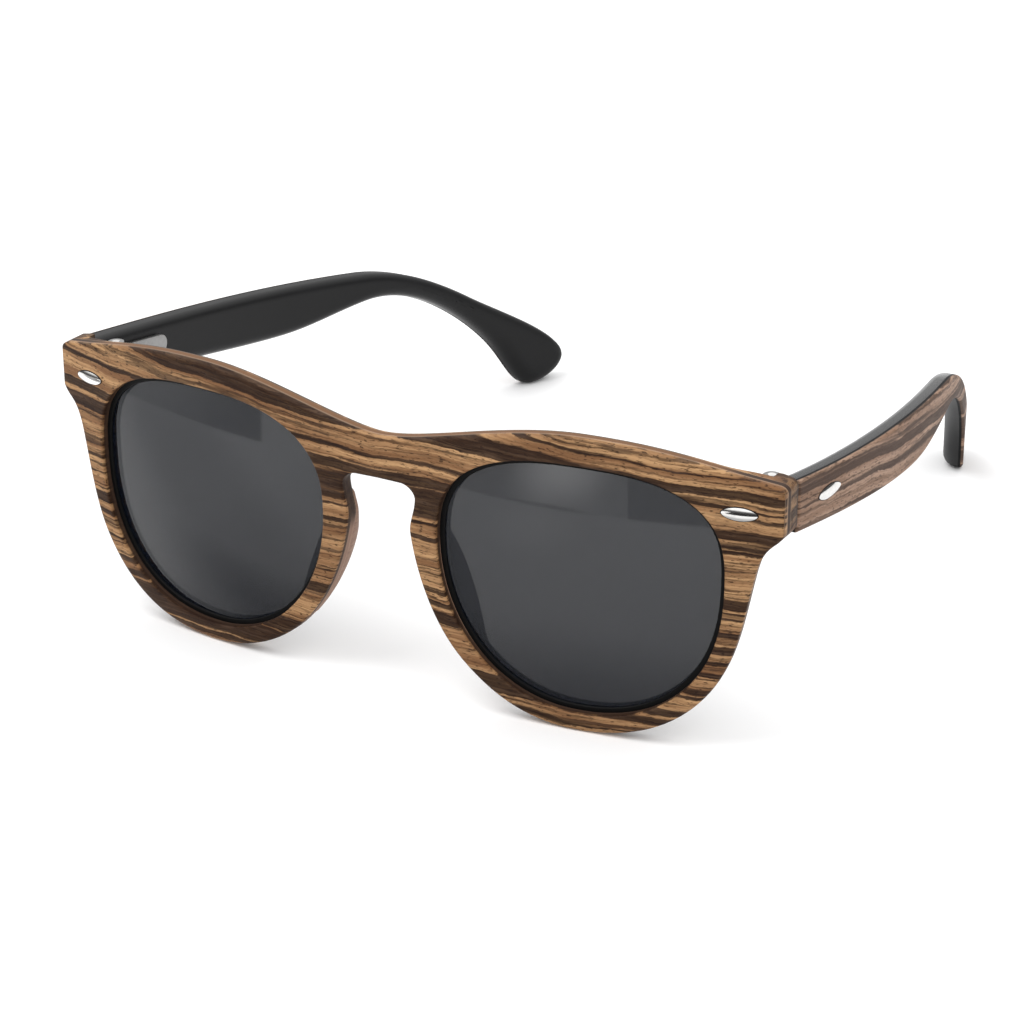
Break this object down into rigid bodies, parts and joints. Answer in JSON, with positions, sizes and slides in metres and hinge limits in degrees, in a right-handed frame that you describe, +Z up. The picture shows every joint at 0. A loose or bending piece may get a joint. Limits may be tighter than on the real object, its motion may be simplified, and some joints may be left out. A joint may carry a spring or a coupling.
{
  "type": "wooden sunglasses",
  "caption": "Sunglasses with a wrapped striped-wood front, keyhole bridge, dark lenses in black rim liners, and bowed black temples faced with wood veneer that fold on riveted hinges.",
  "frame": {"origin": "middle of the footprint of the open frame, on the surface it stands on", "axes": "+Z up, +Y from the front towards the temple tips, X across with left at -X and right at +X as seen from in front"},
  "size_m": [0.1478, 0.1554, 0.0541],
  "materials": {
    "striped_wood": "satin oiled striped wood",
    "dark_wood": "satin dark core veneer",
    "pale_wood": "smooth sanded wood",
    "black_core": "satin black",
    "liner": "matt black",
    "lens": "polished neutral grey tint",
    "rivet_metal": "polished",
    "hinge_metal": "tumbled steel"
  },
  "bodies": {
    "front": {"front_outer_ply": "striped_wood", "front_core_ply": "dark_wood", "front_inner_ply": "striped_wood", "left_rim_liner": "liner", "right_rim_liner": "liner", "left_lens": "lens", "right_lens": "lens", "left_nose_pad": "pale_wood", "right_nose_pad": "pale_wood", "left_front_rivet": "rivet_metal", "right_front_rivet": "rivet_metal", "left_front_hinge_leaf": "hinge_metal", "right_front_hinge_leaf": "hinge_metal", "left_hinge_screw": "rivet_metal", "right_hinge_screw": "rivet_metal"},
    "left_temple": {"left_temple_core": "black_core", "left_temple_veneer": "striped_wood", "left_temple_hinge_leaf": "hinge_metal", "left_temple_rivet": "rivet_metal"},
    "right_temple": {"right_temple_core": "black_core", "right_temple_veneer": "striped_wood", "right_temple_hinge_leaf": "hinge_metal", "right_temple_rivet": "rivet_metal"}
  },
  "joints": [
    {"name": "right_temple_fold", "type": "hinge", "parent": "front", "child": "right_temple", "pos_m": [0.0666, -0.06118, 0.04475], "axis": [0, 0, 1], "range_deg": [0, 84]},
    {"name": "left_temple_fold", "type": "hinge", "parent": "front", "child": "left_temple", "pos_m": [-0.0666, -0.06118, 0.04475], "axis": [0, 0, -1], "range_deg": [0, 78]}
  ]
}
